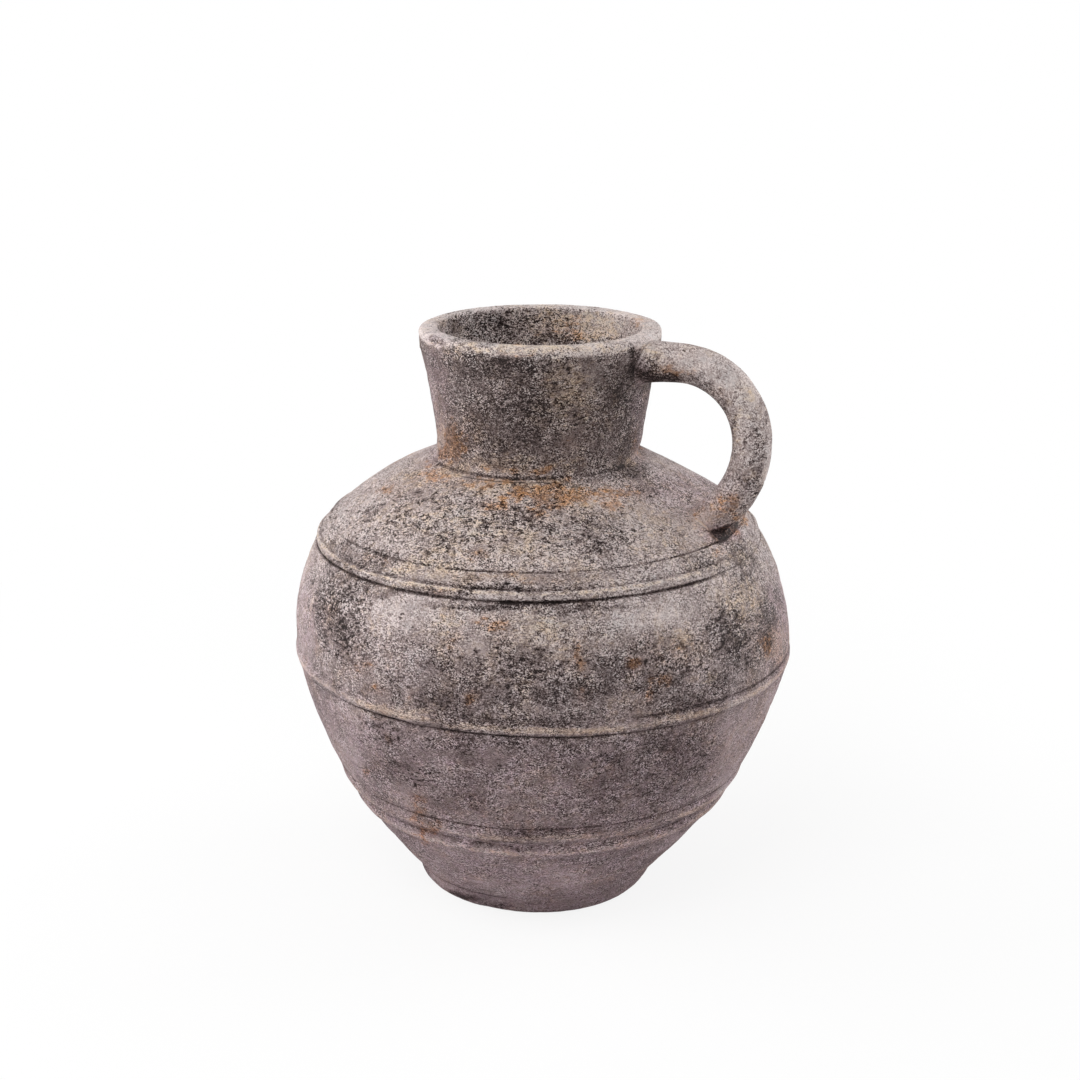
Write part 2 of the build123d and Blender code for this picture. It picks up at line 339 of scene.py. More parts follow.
class Stretch:
    """Part of a piece's outline between two corners."""

    EASE_WALL = 10
    EASE_STRIP = 3

    def __init__(self, node, rows, outlines):
        middle = rows[len(rows) // 2 - 1:len(rows) // 2 + 1].mean(axis=0)
        self.hidden = any(distance_to(middle, other) < TOUCHING
                          for name, other in outlines.items() if name != node)
        run = rows[-1] - rows[0]
        inward = run[1] < 0
        if self.hidden:
            self.rows = rows[[0, -1]]
        elif node in STRIPS or node in ("neck_collar", "rim"):
            self.rows = spaced(rows, STRIP_STEP, self.EASE_STRIP)
        elif inward:
            self.rows = spaced(rows, MOUTH_STEP if node == "neck" else INSIDE_STEP, 1)
        else:
            self.rows = spaced(rows, OUTSIDE_STEP, self.EASE_WALL, EDGE_STEP)
        along = np.gradient(self.rows, axis=0)
        along /= np.linalg.norm(along, axis=1, keepdims=True)
        self.normals = np.column_stack((along[:, 1], -along[:, 0]))
        self.outside = not self.hidden and not inward


def read_stretches():
    """Every turned node's stretches, with one shared normal where two visible ones meet."""
    outlines = {}
    for node in TURNED:
        rows = outline(node)
        outlines[node] = np.vstack((rows, rows[:1])) if rows[0, 0] > WELD else rows
    found = {}
    for node in TURNED:
        rows = outlines[node]
        open_rows = rows[:-1] if rows[0, 0] > WELD else rows
        found[node] = [Stretch(node, part, outlines) for part in split_at_corners(open_rows)]
    meeting = {}
    for stretch in sum(found.values(), []):
        for end in (0, -1):
            if not stretch.hidden:
                key = tuple(np.round(stretch.rows[end], 1))
                meeting.setdefault(key, []).append(stretch.normals[end])
    for stretch in sum(found.values(), []):
        for end in (0, -1):
            key = tuple(np.round(stretch.rows[end], 1))
            if key in meeting:
                shared = np.sum(meeting[key], axis=0)
                stretch.normals[end] = shared / np.linalg.norm(shared)
    return found


stretches = read_stretches()


def outer_radius():
    """Heights and radii of the jar's outside, from the foot to the widest of the lip."""
    rows = np.vstack([stretch.rows for node in TURNED for stretch in stretches[node]
                      if stretch.outside])
    rows = rows[np.argsort(rows[:, 1], kind="stable")]
    return rows[:, 1], rows[:, 0]


OUTER_HEIGHTS, OUTER_RADII = outer_radius()


def strip_ends(node):
    """Lower and upper end of the visible face of a strip."""
    ends = [tuple(np.round(stretch.rows[end], 2)) for stretch in stretches[node]
            if not stretch.hidden for end in (0, -1)]
    alone = [end for end in ends if ends.count(end) == 1]
    return [np.array(end) for end in sorted(alone, key=lambda end: end[1])]


def standing_proud(node, rows):
    """How far rows of a strip stand outside the line between its ends."""
    if node not in STRIPS:
        return np.zeros(len(rows))
    low, high = strip_ends(node)
    run = (high - low) / np.linalg.norm(high - low)
    offset = rows - low
    return offset[:, 0] * run[1] - offset[:, 1] * run[0]


# Pressed edges. Where the photograph shows a line, its strength is given along the picture's
# columns; where it doesn't, the strength wanders. The dark along each line is painted shade in its groove
# or under its bead.

SHOULDER_LOW, SHOULDER_HIGH = strip_ends("shoulder_cordon")
BELLY_LOW, BELLY_HIGH = strip_ends("belly_cordon")
LOWER_LOW, LOWER_HIGH = strip_ends("lower_cordon")
COLLAR_LOW, COLLAR_HIGH = strip_ends("neck_collar")
NECK_ROOT = np.array((COLLAR_HIGH[0], COLLAR_LOW[1]))
GROOVE = SHOULDER_LOW * 0.58 + SHOULDER_HIGH * 0.42
VALLEY = LOWER_LOW * 0.52 + LOWER_HIGH * 0.48

UNDER_BEAD = {300: 0.2, 325: 0.5, 350: 0.9, 385: 0.6, 470: 0.55, 510: 0.9, 590: 0.9, 640: 0.7, 690: 0.9,
              712: 0.5, 735: 0.1, 800: 0.0}
IN_GROOVE = {320: 0.0, 400: 0.1, 420: 0.5, 445: 0.9, 516: 0.9, 560: 0.5, 600: 0.3, 680: 0.3, 692: 0.6,
             715: 0.5, 730: 0.0}
OVER_BAND = {330: 0.0, 340: 0.2, 350: 0.6, 391: 0.8, 434: 1.0, 513: 1.0, 588: 0.8, 667: 0.9, 718: 0.8,
             735: 0.5, 755: 0.15}
UNDER_BELLY = {330: 0.0, 348: 0.2, 360: 0.8, 396: 1.0, 420: 0.4, 449: 0.8, 474: 0.7, 490: 0.8, 626: 0.7,
               650: 0.2, 790: 0.0}
OVER_BELLY = {300: 0.0, 620: 0.05, 650: 0.7, 702: 0.8, 754: 0.8, 781: 0.9, 790: 0.4}
OVER_LOWER = {345: 0.0, 363: 0.3, 406: 0.5, 441: 0.9, 473: 0.7, 560: 0.5, 614: 0.6, 667: 0.7, 713: 0.6,
              730: 0.5, 745: 0.1}
IN_VALLEY = {380: 0.0, 403: 0.3, 443: 0.5, 473: 0.3, 520: 0.1, 640: 0.2, 652: 0.7, 687: 0.7, 700: 0.2}
ROOT_CRACK = {425: 0.0, 439: 0.4, 482: 0.7, 554: 0.7, 578: 0.2, 590: 0.5, 601: 0.3, 618: 0.5, 630: 0.3,
              645: 0.0}
# Each line's place on the outline, its depth, width and the darkness of its painted shade, and its strength
# by column
LINES = (
    (SHOULDER_LOW, 1.2, 0.8, 1.5, UNDER_BEAD),
    (GROOVE, 0.2, 1.0, 0.9, IN_GROOVE),
    (SHOULDER_HIGH, 0.45, 0.65, 1.1, OVER_BAND),
    (BELLY_LOW, 0.45, 0.75, 1.0, UNDER_BELLY),
    (BELLY_HIGH, 0.35, 0.8, 0.9, OVER_BELLY),
    (LOWER_HIGH, 0.35, 0.55, 0.9, OVER_LOWER),
    (VALLEY, 0.1, 0.7, 0.8, IN_VALLEY),
)


def by_column(columns, points, unseen):
    """Value at each point: by column in the picture, or another on the side that it doesn't show."""
    across, _ = in_picture(warped(points))
    shown = smoothstep(-(points @ AWAY) / from_axis(points), -0.1, 0.1)
    return shown * eased(np.clip(across, min(columns), max(columns)), columns) + (1 - shown) * unseen


def line_strength(columns, points):
    """Strength of a pressed line at each point: by column in the picture, or wandering."""
    wander = np.clip(0.5 + uneven("line_wander", points), 0, 1)
    return by_column(columns, points, wander)


# Where the crack at the neck's root ends and is whole, from the corner under the collar
CRACK_REACH = (2.95, 2.4)
CRACK_DEPTH = 0.8
PIT_DEPTH = 0.35
ROD_PIT_DEPTH = 0.3
# Right end of the shoulder's bead, which is worn down to the band, by column
WORN_BEAD = {300: 0.0, 712: 0.0, 742: 1.0, 800: 1.0}
BAND_PROUD = 0.5


def broken(points):
    """Unevenness of a pressed line along its way."""
    return np.clip(0.8 + uneven("line_break", points), 0, 1.4)


def pressed(radius, height, points):
    """Depth of the lines pressed along the strips, and their painted shade."""
    depth = np.zeros(len(points))
    dark = np.zeros(len(points))
    breaks = broken(points)
    for (line_radius, line_height), deep, wide, darkness, columns in LINES:
        away = np.hypot(radius - line_radius, height - line_height)
        near = away < 3 * wide
        if np.any(near):
            share = np.zeros(len(points))
            share[near] = line_strength(columns, points[near])
            depth += deep * (0.15 + 0.85 * share) * np.exp(-(away / wide) ** 2)
            # Painted shade: darkens the groove or the underside of the bead
            dark += darkness * share * breaks * np.exp(-(away / wide / 1.1) ** 2)
    return depth, dark


def relief(points, strip):
    """Throwing rings, lumps and grain of the outside, in millimetres."""
    height = points[:, 2]
    total = uneven("lump", points) + uneven("dent", points)
    total += uneven("thrown_ring", points) * smoothstep(height, *THROWN_BEGIN)
    total += uneven("scraped_ring", points) * (1 - smoothstep(height, *SCRAPED_END))
    total += uneven("crumb", points)
    if strip:
        total = 0.5 * total + uneven("strip_lump", points)
    return total


# Clay smeared from the shoulder against the left of the handle's foot, with the ends of its sharp
# edge in the picture, the painted highlight along that edge, and the shaded hollow that it leaves under the
# rod
FLAP_START = (690, 512)
FLAP_TIP = (721, 546)
FLAP_RISE = 1.9
FLAP_REACH = 24
FOOT_SHADOW = ((704, 533), (739, 521), (736, 531), (721, 546), (712, 541))


def beside(across, down, start, end):
    """Pixels from the line through two places, more than 0 at its lower left."""
    run = np.subtract(end, start) / np.hypot(*np.subtract(end, start))
    return run[0] * (down - start[1]) - run[1] * (across - start[0])


def flap(points, normals):
    """Rise of the smeared clay, and the line along its edge that carries a painted highlight."""
    across, down = in_picture(points)
    away = beside(across, down, FLAP_START, FLAP_TIP) + uneven("flap_edge", points)
    run = np.subtract(FLAP_TIP, FLAP_START)
    along = ((across - FLAP_START[0]) * run[0] + (down - FLAP_START[1]) * run[1]) / np.sum(run ** 2)
    share = smoothstep(along, 0.0, 0.35) * (1 - smoothstep(along, 0.98, 1.12))
    share = share * smoothstep(facing(points, normals), 0.0, 0.2)
    edge = share * np.exp(-((away - 1.5) / 1.6) ** 2)
    return share * smoothstep(away, -0.6, 0.8) * (1 - smoothstep(away, 2, FLAP_REACH)), edge


def foot_shadow(points):
    """1 in the hollow under the rod's foot and 0 round it."""
    across, down = in_picture(points)
    across = across + uneven("shadow_edge", points)
    share = np.ones(len(points))
    for start, end in zip(FOOT_SHADOW, FOOT_SHADOW[1:] + FOOT_SHADOW[:1]):
        share *= smoothstep(beside(across, down, start, end), -1.2, 1.2)
    return share


def pitting(points, density):
    """Worn pits: short dark worms, closer together where the density is high."""
    field = uneven("pit", points) + uneven("small_pit", points)
    gate = 0.75 - 0.75 * density
    return smoothstep(field, gate, gate + 0.3) * smoothstep(density, 0.02, 0.3)


# Stains, wear, painted shade and painted highlights that the photograph shows: pixel, half width and half
# height in pixels, amount

# Dark stains and painted shade: the patches under the lip, inside the mouth, at and under the handle's
# root, on the handle's underside, inner side and outer side, under the bands and at the handle's foot are
# painted shade; the rest are dark stains
SOOT_AND_SHADE = {
    "lip_corner": (437, 341, 12, 4, 1.0),
    "lip_low_left": (478, 354, 16, 4, 1.0),
    "handle_root_low": (650, 367, 9, 8, 1.0),
    "under_front": (546, 612, 18, 6, 0.8),
    "band_under_right": (744, 576, 12, 9, 1.0),
    "belly_middle_near": (491, 674, 14, 8, 0.6),
    "belly_middle_front": (565, 671, 12, 8, 0.6),
    "under_lip_front": (521, 368, 20, 7, 0.9),
    "belly_far_right": (770, 600, 9, 12, 0.8),
    "belly_left_rim": (341, 688, 12, 10, 0.5),
    "belly_bead_far_left": (362, 694, 12, 7, 0.4),
    "belly_bead_near": (497, 725, 22, 5, 0.8),
    "middle_right_high": (625, 745, 14, 9, 0.5),
    "under_lip_left": (500, 366, 48, 12, 0.65),
    "under_lip_corner": (450, 347, 22, 5, 0.9),
    "neck_right_low": (621, 436, 12, 30, 0.55),
    "neck_middle_wide": (520, 400, 30, 40, 0.2),
    "neck_foot_far": (621, 471, 26, 8, 1.0),
    "neck_middle": (534, 405, 16, 12, 0.9),
    "neck_middle_low": (522, 440, 26, 18, 0.4),
    "neck_right_cloud": (618, 400, 12, 26, 0.6),
    "handle_root": (641, 371, 12, 11, 1.0),
    "neck_foot_right": (590, 455, 26, 12, 0.35),
    "shoulder_left_cluster": (440, 541, 14, 11, 0.45),
    "shoulder_worms": (514, 526, 14, 11, 0.45),
    "shoulder_middle": (555, 523, 40, 16, 0.35),
    "shoulder_right_grey": (604, 534, 34, 20, 0.65),
    "shoulder_handle": (687, 499, 14, 8, 0.5),
    "band_left_grey": (364, 560, 36, 10, 1.0),
    "shoulder_far_left": (356, 517, 12, 9, 0.5),
    "shoulder_left_dark": (430, 500, 30, 13, 0.5),
    "shoulder_far": (374, 512, 14, 8, 0.55),
    "neck_foot_dark": (512, 461, 46, 8, 0.5),
    "lip_low_front": (541, 357, 34, 3, 0.7),
    "shoulder_right_edge": (656, 488, 34, 10, 0.5),
    "band_far_right": (743, 560, 13, 30, 0.95),
    "band_right_grey": (706, 565, 20, 8, 1.0),
    "bead_front": (490, 590, 54, 5, 1.0),
    "belly_top_left": (327, 585, 12, 13, 1.0),
    "belly_top_near": (363, 584, 14, 6, 0.8),
    "band_left_high": (345, 545, 18, 8, 0.9),
    "shoulder_low_left": (387, 538, 14, 8, 0.5),
    "groove_left": (464, 580, 15, 4, 0.8),
    "middle_low_right": (607, 797, 18, 8, 0.5),
    "belly_left": (337, 612, 23, 42, 0.66),
    "belly_left_low": (336, 640, 20, 18, 0.45),
    "belly_middle": (527, 667, 25, 18, 0.85),
    "belly_ochre_low": (660, 664, 22, 9, 0.9),
    "belly_middle_east": (610, 670, 22, 13, 1.0),
    "belly_middle_west": (440, 665, 26, 10, 0.65),
    "belly_right_front": (738, 660, 22, 13, 0.9),
    "belly_low_middle": (476, 696, 50, 20, 0.9),
    "belly_low_front": (566, 692, 48, 14, 1.0),
    "belly_low_right": (644, 683, 46, 12, 0.85),
    "belly_low_left": (412, 678, 20, 10, 0.45),
    "belly_right_edge": (767, 622, 10, 28, 1.0),
    "belly_right_under": (722, 683, 22, 14, 0.8),
    "belly_right": (732, 632, 19, 28, 0.95),
    "belly_right_wide": (752, 648, 30, 36, 0.2),
    "belly_right_low": (690, 702, 44, 11, 0.7),
    "belly_spot_high": (642, 646, 11, 11, 0.75),
    "middle_cloud": (463, 743, 14, 12, 0.45),
    "middle_front": (506, 742, 24, 10, 0.75),
    "middle_right_spot": (608, 761, 14, 12, 0.6),
    "middle_front_spot": (573, 753, 18, 9, 0.6),
    "middle_low": (477, 804, 14, 10, 0.5),
    "foot_line": (497, 906, 26, 4, 0.7),
    "middle_left": (394, 766, 18, 11, 0.5),
    "middle_right": (664, 750, 42, 30, 0.35),
    "middle_right_low": (630, 782, 46, 20, 0.4),
    "lower_band_middle": (490, 844, 34, 6, 0.5),
    "lower_band_right": (668, 824, 20, 7, 0.6),
    "mouth_left": (480, 326, 46, 15, 1.0),
    "belly_bead_front": (500, 722, 90, 8, 0.75),
    "band_under_front": (530, 605, 90, 4, 1.0),
    "lower_band": (540, 834, 90, 8, 0.45),
    "mouth_low": (560, 340, 80, 5, 0.9),
    "handle_flecks": (720, 373, 9, 6, 0.5),
    "handle_outer": (755, 476, 9, 30, 0.5),
    "handle_low": (734, 500, 18, 22, 0.35),
    "handle_root_under": (662, 380, 18, 7, 1.0),
    "neck_left_low": (494, 443, 14, 9, 0.9),
    "handle_low_edge": (742, 487, 8, 14, 0.6),
    "band_left_far": (376, 571, 22, 6, 0.7),
    "handle_outer_high": (765, 410, 6, 12, 0.5),
    "handle_under": (676, 378, 30, 6, 0.9),
    "handle_inner": (716, 404, 12, 16, 0.4),
    "handle_inner_low": (733, 432, 7, 16, 0.6),
    "handle_inner_high": (705, 389, 13, 8, 0.9),
    "handle_foot": (721, 534, 15, 8, 0.8),
    "handle_crest": (682, 366, 12, 6, 0.45),
}
CREAM = {
    "lip_front": (540, 348, 110, 5, 0.7),
    "neck_left_low": (439, 435, 9, 16, 0.9),
    "handle_bow": (745, 391, 14, 16, 0.5),
    "neck_crust": (572, 392, 30, 30, 0.8),
    "neck_root_left": (452, 468, 22, 9, 0.9),
    "neck_foot": (500, 462, 44, 13, 0.65),
    "neck_foot_middle": (560, 465, 40, 8, 0.5),
    "neck_foot_right": (625, 461, 14, 8, 0.55),
    "shoulder_edge_left": (430, 477, 30, 9, 0.5),
    "shoulder_root": (530, 488, 80, 9, 0.9),
    "shoulder_root_right": (583, 498, 22, 8, 0.6),
    "shoulder_wide": (480, 530, 110, 34, 0.45),
    "shoulder_front": (533, 545, 40, 16, 0.45),
    "shoulder_right": (665, 535, 50, 26, 0.45),
    "band_left": (420, 567, 34, 9, 0.6),
    "band_middle": (520, 578, 60, 5, 0.4),
    "band_right": (737, 559, 16, 6, 0.7),
    "bead_left": (400, 586, 50, 5, 0.4),
    "belly_high_left": (443, 620, 18, 11, 0.45),
    "belly_high_middle": (535, 630, 40, 20, 0.5),
    "belly_high_right": (614, 640, 30, 13, 0.45),
    "belly_ochre_right": (676, 641, 18, 12, 0.65),
    "belly_far_right": (745, 600, 24, 22, 0.5),
    "belly_right_rim": (778, 645, 12, 22, 0.8),
    "belly_spot": (709, 678, 10, 6, 0.6),
    "belly_bead_left": (398, 711, 38, 8, 0.75),
    "belly_bead_middle": (470, 726, 40, 5, 0.4),
    "belly_bead_front": (580, 732, 70, 5, 0.45),
    "belly_bead_right": (690, 714, 40, 6, 0.5),
    "lower_band_line": (560, 838, 90, 3, 0.35),
    "lower_band_line_right": (690, 812, 34, 4, 0.45),
    "mouth_right": (596, 326, 24, 14, 1.0),
    "mouth_middle": (560, 322, 30, 9, 0.7),
    "handle_root": (655, 352, 13, 12, 0.6),
    "handle_inner": (737, 436, 8, 34, 0.4),
    "handle_low": (722, 503, 14, 16, 0.5),
}
RUST = {
    "mouth_low_right": (571, 332, 16, 5, 0.9),
    "mouth_ochre": (576, 319, 12, 7, 0.5),
    "neck_foot_near": (463, 445, 7, 12, 0.7),
    "neck_spot_left": (513, 468, 6, 6, 0.8),
    "neck_root_right": (573, 478, 12, 5, 0.6),
    "band_under_left": (437, 589, 14, 5, 0.5),
    "lip_line": (523, 354, 26, 2, 0.6),
    "neck_streak": (454, 443, 10, 18, 1.0),
    "shoulder_root_near": (519, 494, 14, 8, 0.9),
    "handle_low_front": (724, 509, 10, 12, 0.6),
    "belly_high_spot": (480, 617, 12, 7, 0.5),
    "lower_left": (430, 832, 10, 12, 0.6),
    "belly_right_rim": (764, 645, 10, 14, 0.7),
    "neck_foot_left": (430, 464, 12, 6, 0.6),
    "neck_streak_left": (446, 450, 6, 12, 0.9),
    "neck_low_left": (470, 425, 12, 14, 0.3),
    "neck_spot_middle": (543, 470, 10, 6, 0.7),
    "neck_spot_right": (573, 443, 8, 10, 0.4),
    "neck_middle": (546, 386, 8, 6, 0.35),
    "shoulder_root_left": (436, 477, 20, 7, 0.8),
    "shoulder_root_wide": (496, 484, 40, 7, 0.55),
    "shoulder_root_far": (598, 492, 40, 9, 0.75),
    "neck_root_line": (492, 467, 34, 5, 0.35),
    "shoulder_left": (392, 491, 18, 7, 0.5),
    "shoulder_root": (552, 495, 22, 9, 1.0),
    "band_left": (375, 562, 20, 6, 0.3),
    "band_middle": (520, 579, 46, 4, 0.4),
    "band_right": (722, 553, 10, 5, 0.5),
    "belly_left_spot": (332, 610, 7, 16, 0.5),
    "belly_left_low": (360, 666, 12, 9, 0.45),
    "belly_left_bead": (376, 691, 8, 6, 0.55),
    "belly_drip": (472, 699, 7, 13, 0.6),
    "belly_drip_left": (412, 698, 6, 7, 0.45),
    "belly_seep": (453, 646, 8, 12, 0.5),
    "belly_high": (511, 636, 10, 6, 0.35),
    "belly_drop": (579, 660, 6, 16, 0.65),
    "belly_drop_low": (577, 700, 9, 12, 0.35),
    "belly_right_drip": (650, 688, 6, 16, 0.65),
    "belly_ochre": (668, 652, 30, 14, 0.3),
    "belly_far_right": (760, 648, 12, 18, 0.4),
    "middle_left_spot": (387, 733, 5, 5, 0.7),
    "middle_left_low": (370, 772, 6, 7, 0.45),
    "lower_drip": (420, 812, 10, 24, 0.6),
    "lower_band_front": (575, 832, 34, 4, 0.35),
    "mouth_right": (636, 324, 8, 6, 0.5),
    "mouth_low": (575, 336, 36, 5, 0.5),
    "handle_under": (672, 370, 20, 6, 0.5),
    "shoulder_root_low": (553, 503, 14, 7, 0.95),
    "shoulder_root_east": (613, 504, 12, 6, 0.7),
    "belly_ochre_drip": (634, 665, 9, 10, 0.8),
    "belly_right_seep": (662, 678, 9, 9, 0.8),
    "shoulder_front": (475, 556, 14, 8, 0.5),
    "neck_right_low": (637, 446, 6, 12, 0.6),
    "belly_high_left": (500, 624, 14, 7, 0.8),
    "shoulder_front_high": (495, 503, 16, 8, 0.7),
    "shoulder_front_mid": (535, 516, 16, 6, 0.5),
    "shoulder_handle": (700, 516, 14, 12, 0.6),
    "handle_bow": (718, 390, 10, 6, 0.35),
    "handle_low": (734, 505, 7, 12, 0.7),
    "handle_foot": (739, 519, 8, 7, 0.7),
    # Rust that also colours the painted shadow in the hollow under the handle's foot
    "handle_foot_shadow_rust": (725, 531, 11, 6, 0.8),
    "mouth_wide": (560, 326, 50, 10, 0.35),
}
# Pale patches and painted highlights: the strips along the jar's left and right edges, the handle's top,
# bow and outer edge, the sheen under the shoulder's band and the lit right side inside the mouth are
# painted highlights and sheen; the rest are paler clay
PALE_AND_HIGHLIGHT = {
    "neck_left_high": (426, 361, 10, 14, 0.8),
    "neck_left_low": (443, 435, 13, 18, 0.9),
    "neck_under_handle": (630, 361, 9, 7, 1.0),
    "neck_foot_left": (424, 459, 14, 12, 1.0),
    "under_bead_near": (481, 612, 22, 6, 0.6),
    "belly_seep": (472, 649, 12, 8, 0.8),
    "belly_far_left": (303, 655, 10, 16, 1.0),
    "neck_left_edge": (430, 410, 15, 70, 1.0),
    "lip_left": (430, 330, 16, 16, 0.8),
    "shoulder_left_edge": (360, 482, 26, 14, 0.2),
    "mouth_right": (606, 322, 26, 12, 0.9),
    "band_far_right": (752, 534, 10, 16, 0.4),
    "belly_under_band_left": (398, 610, 36, 17, 0.8),
    "belly_under_band_right": (646, 615, 44, 13, 0.75),
    "belly_left_edge": (303, 625, 7, 50, 0.6),
    "belly_right_edge": (785, 640, 5, 50, 0.35),
    "middle_left_edge": (342, 750, 28, 60, 0.8),
    "middle_near_left": (414, 742, 14, 12, 0.5),
    "middle_right_edge": (742, 740, 24, 50, 1.0),
    "middle_right_low": (728, 776, 20, 22, 1.0),
    "middle_left_flecks": (432, 772, 16, 16, 0.6),
    "neck_crust": (580, 380, 16, 18, 1.0),
    "neck_root": (500, 474, 70, 7, 0.5),
    "neck_front_high": (586, 374, 24, 16, 0.6),
    "neck_front_low": (576, 438, 14, 14, 0.6),
    "neck_root_left": (450, 474, 30, 8, 0.8),
    "shoulder_root_right": (652, 455, 18, 10, 1.0),
    "shoulder_root_front": (602, 499, 18, 6, 0.9),
    "shoulder_front": (541, 541, 12, 7, 0.5),
    "shoulder_foot": (702, 530, 12, 12, 0.7),
    "belly_low_left": (404, 723, 26, 8, 0.8),
    "lower_left": (408, 804, 20, 24, 0.7),
    "lower_right": (682, 832, 18, 12, 0.8),
    "belly_right_rim": (770, 698, 12, 20, 0.8),
    "handle_root": (652, 346, 12, 9, 0.9),
    "shoulder_right_top": (684, 468, 24, 8, 0.9),
    "shoulder_right": (655, 522, 44, 20, 0.4),
    "belly_middle_top": (541, 652, 16, 9, 0.8),
    "middle_right_rim": (706, 789, 16, 12, 0.7),
    "handle_bow_top": (738, 376, 28, 14, 1.0),
    "handle_bow_edge": (748, 398, 16, 24, 1.0),
    "handle_middle": (708, 368, 34, 10, 0.8),
    "shoulder_root_mid": (484, 486, 16, 6, 0.8),
    "shoulder_root_east": (612, 505, 16, 7, 0.9),
    "foot_front": (540, 886, 60, 22, 0.5),
    "foot_left": (450, 850, 40, 30, 0.35),
    "handle_top": (705, 360, 50, 14, 0.7),
    "handle_right": (750, 440, 18, 30, 0.45),
    "handle_edge": (767, 466, 6, 22, 0.9),
}
# Painted shade: the gap and the underside at the handle's root, under the bead and the band, at the lip's
# left corner and along the foot's lower edge
DEEP_SHADE = {
    "lip_left": (437, 342, 10, 3, 0.4),
    "handle_root_gap": (635, 353, 3, 9, 0.9),
    "handle_root_low": (641, 373, 9, 5, 0.6),
    "handle_root_under": (660, 378, 19, 7, 0.6),
    "band_left": (370, 568, 18, 4, 0.25),
    "under_bead": (400, 592, 40, 4, 0.4),
    "under_bead_front": (515, 606, 80, 3, 0.4),
    "foot_left": (457, 896, 26, 4, 0.5),
}
PITS = {
    "shoulder": (470, 525, 110, 36, 0.55),
    "shoulder_front": (520, 520, 60, 24, 0.3),
    "shoulder_right": (590, 530, 50, 26, 0.35),
    "band_groove": (480, 590, 50, 4, 0.6),
    "belly_left": (345, 610, 26, 44, 0.6),
    "belly_middle": (520, 665, 60, 28, 0.5),
    "belly_right": (730, 630, 30, 34, 0.5),
    "belly_ochre": (660, 655, 50, 22, 0.35),
    "middle_flecks": (426, 776, 14, 12, 0.6),
    "middle_left": (380, 730, 22, 18, 0.4),
    "mouth": (510, 325, 60, 14, 0.6),
    "neck_crust": (570, 400, 34, 40, 0.35),
    "handle_outer": (757, 465, 12, 40, 0.4),
}
SMOOTH = {
    "band_left": (340, 556, 26, 12, 1.0),
    "band_top": (520, 576, 120, 4, 0.9),
    "shoulder_left": (400, 500, 36, 18, 0.6),
    "handle_middle": (712, 366, 40, 14, 0.5),
}
# Mauve tint: along the jar's left and right edges it is painted sheen, and at the handle's foot it tints
# the painted shadow
MAUVE_SHEEN_AND_SHADE = {
    "neck_left": (434, 400, 14, 60, 0.5),
    "neck_right": (640, 410, 8, 50, 0.5),
    "belly_left": (303, 620, 14, 60, 0.35),
    "belly_right": (782, 630, 12, 60, 0.6),
    "shoulder_right": (690, 490, 40, 24, 0.4),
    "handle_foot": (722, 534, 16, 9, 0.9),
}


# Patches of each kind, and how the side that the picture doesn't show gets its share: the noise that
# it follows and its sign, where it starts and is whole, and the most of the kind
KINDS = {
    "soot_and_shade": (SOOT_AND_SHADE, "cloud", 1, -0.02, 0.38, 0.85),
    "cream": (CREAM, "blot", -1, 0.02, 0.5, 0.7),
    "rust": (RUST, "drip", 1, 0.2, 0.6, 0.7),
    "pale": (PALE_AND_HIGHLIGHT, "cloud", -1, 0.0, 0.4, 0.8),
    "pits": (PITS, "blot", 1, 0.0, 0.5, 0.6),
}
MOTTLED = ("soot_and_shade", "cream", "rust")
# Overall tone, strength of the speckle and mauve of the fired clay by height, and the tone of what
# has only one
TONE = {0: 0.53, 40: 0.56, 56: 0.51, 84: 0.51, 120: 0.5, 150: 0.51, 185: 0.59, 215: 0.67, 232: 0.71,
        262: 0.68, 276: 0.44, 300: 0.35, 343: 0.36, 346: 0.87, 350: 0.9}
GRIT = {0: 0.72, 60: 0.86, 120: 0.84, 150: 0.92, 180: 1.0, 260: 1.2, 340: 1.2, 350: 1.15}
MAUVE = {0: 1.0, 50: 1.0, 90: 0.8, 130: 0.75, 170: 0.3, 220: 0.15, 270: 0.15, 350: 0.1}
INSIDE_TONE = 0.7
HANDLE_TONE = 0.7
# Values of the finish and of the painted shade and highlights that each point carries to the material
FINISH_AND_PAINTED_LIGHT = ("tone", "soot_and_shade", "cream", "rust", "pale", "pits", "shade_pits_and_crack", "grit", "mauve")


def painted(places, across, down, seen):
    """Amount at each seen pixel of the patches in a dictionary."""
    total = np.zeros(len(seen))
    for place_across, place_down, half_width, half_height, amount in places.values():
        away = ((across - place_across) / half_width) ** 2 + ((down - place_down) / half_height) ** 2
        total = np.maximum(total, amount * np.exp(-0.7 * away ** 1.4)) + 0.15 * amount * np.exp(-away)
    return np.clip(total * seen, 0, 1)


